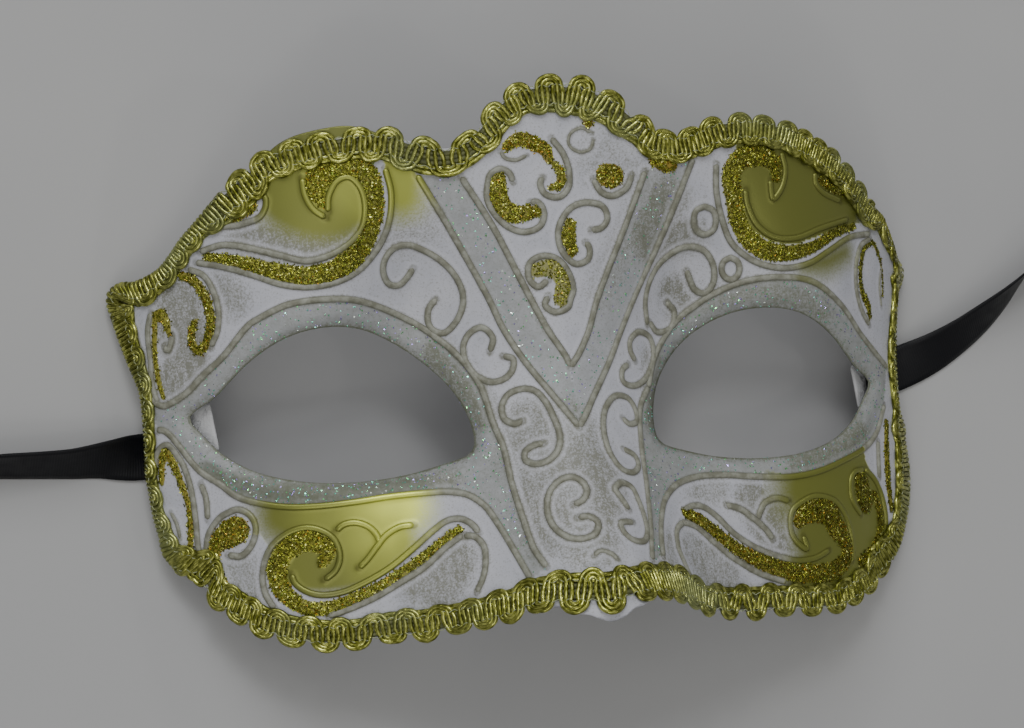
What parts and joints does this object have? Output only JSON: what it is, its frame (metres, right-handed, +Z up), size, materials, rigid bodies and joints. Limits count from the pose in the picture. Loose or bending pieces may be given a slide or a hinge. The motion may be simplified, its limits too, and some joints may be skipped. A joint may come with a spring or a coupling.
{
  "type": "venetian half mask",
  "caption": "Moulded half mask for the eyes and nose with raised painted scrollwork, braid edging and satin ties.",
  "frame": {"origin": "centre of the mask's underside as it lies face up, without its ribbons: middle of its width and of its height, on the surface that it lies on", "axes": "+X along the width, to the right seen from the front, +Y towards the crown, +Z up, out of the face"},
  "size_m": [0.3897, 0.1184, 0.0604],
  "materials": {
    "painted_shell": "matt white moulded sheet with a grey antiquing wash, gold shading and glitter",
    "gold_gimp": "woven metallic cord, yellow-green gold",
    "white_felt": "plain white felt, glued",
    "black_satin": "black satin ribbon"
  },
  "bodies": {
    "root": {"mask_shell": "painted_shell", "gold_braid": "gold_gimp", "left_fixing_patch": "white_felt", "right_fixing_patch": "white_felt", "left_ribbon": "black_satin", "left_ribbon_coil": "black_satin", "right_ribbon": "black_satin", "right_ribbon_coil": "black_satin"}
  },
  "joints": []
}
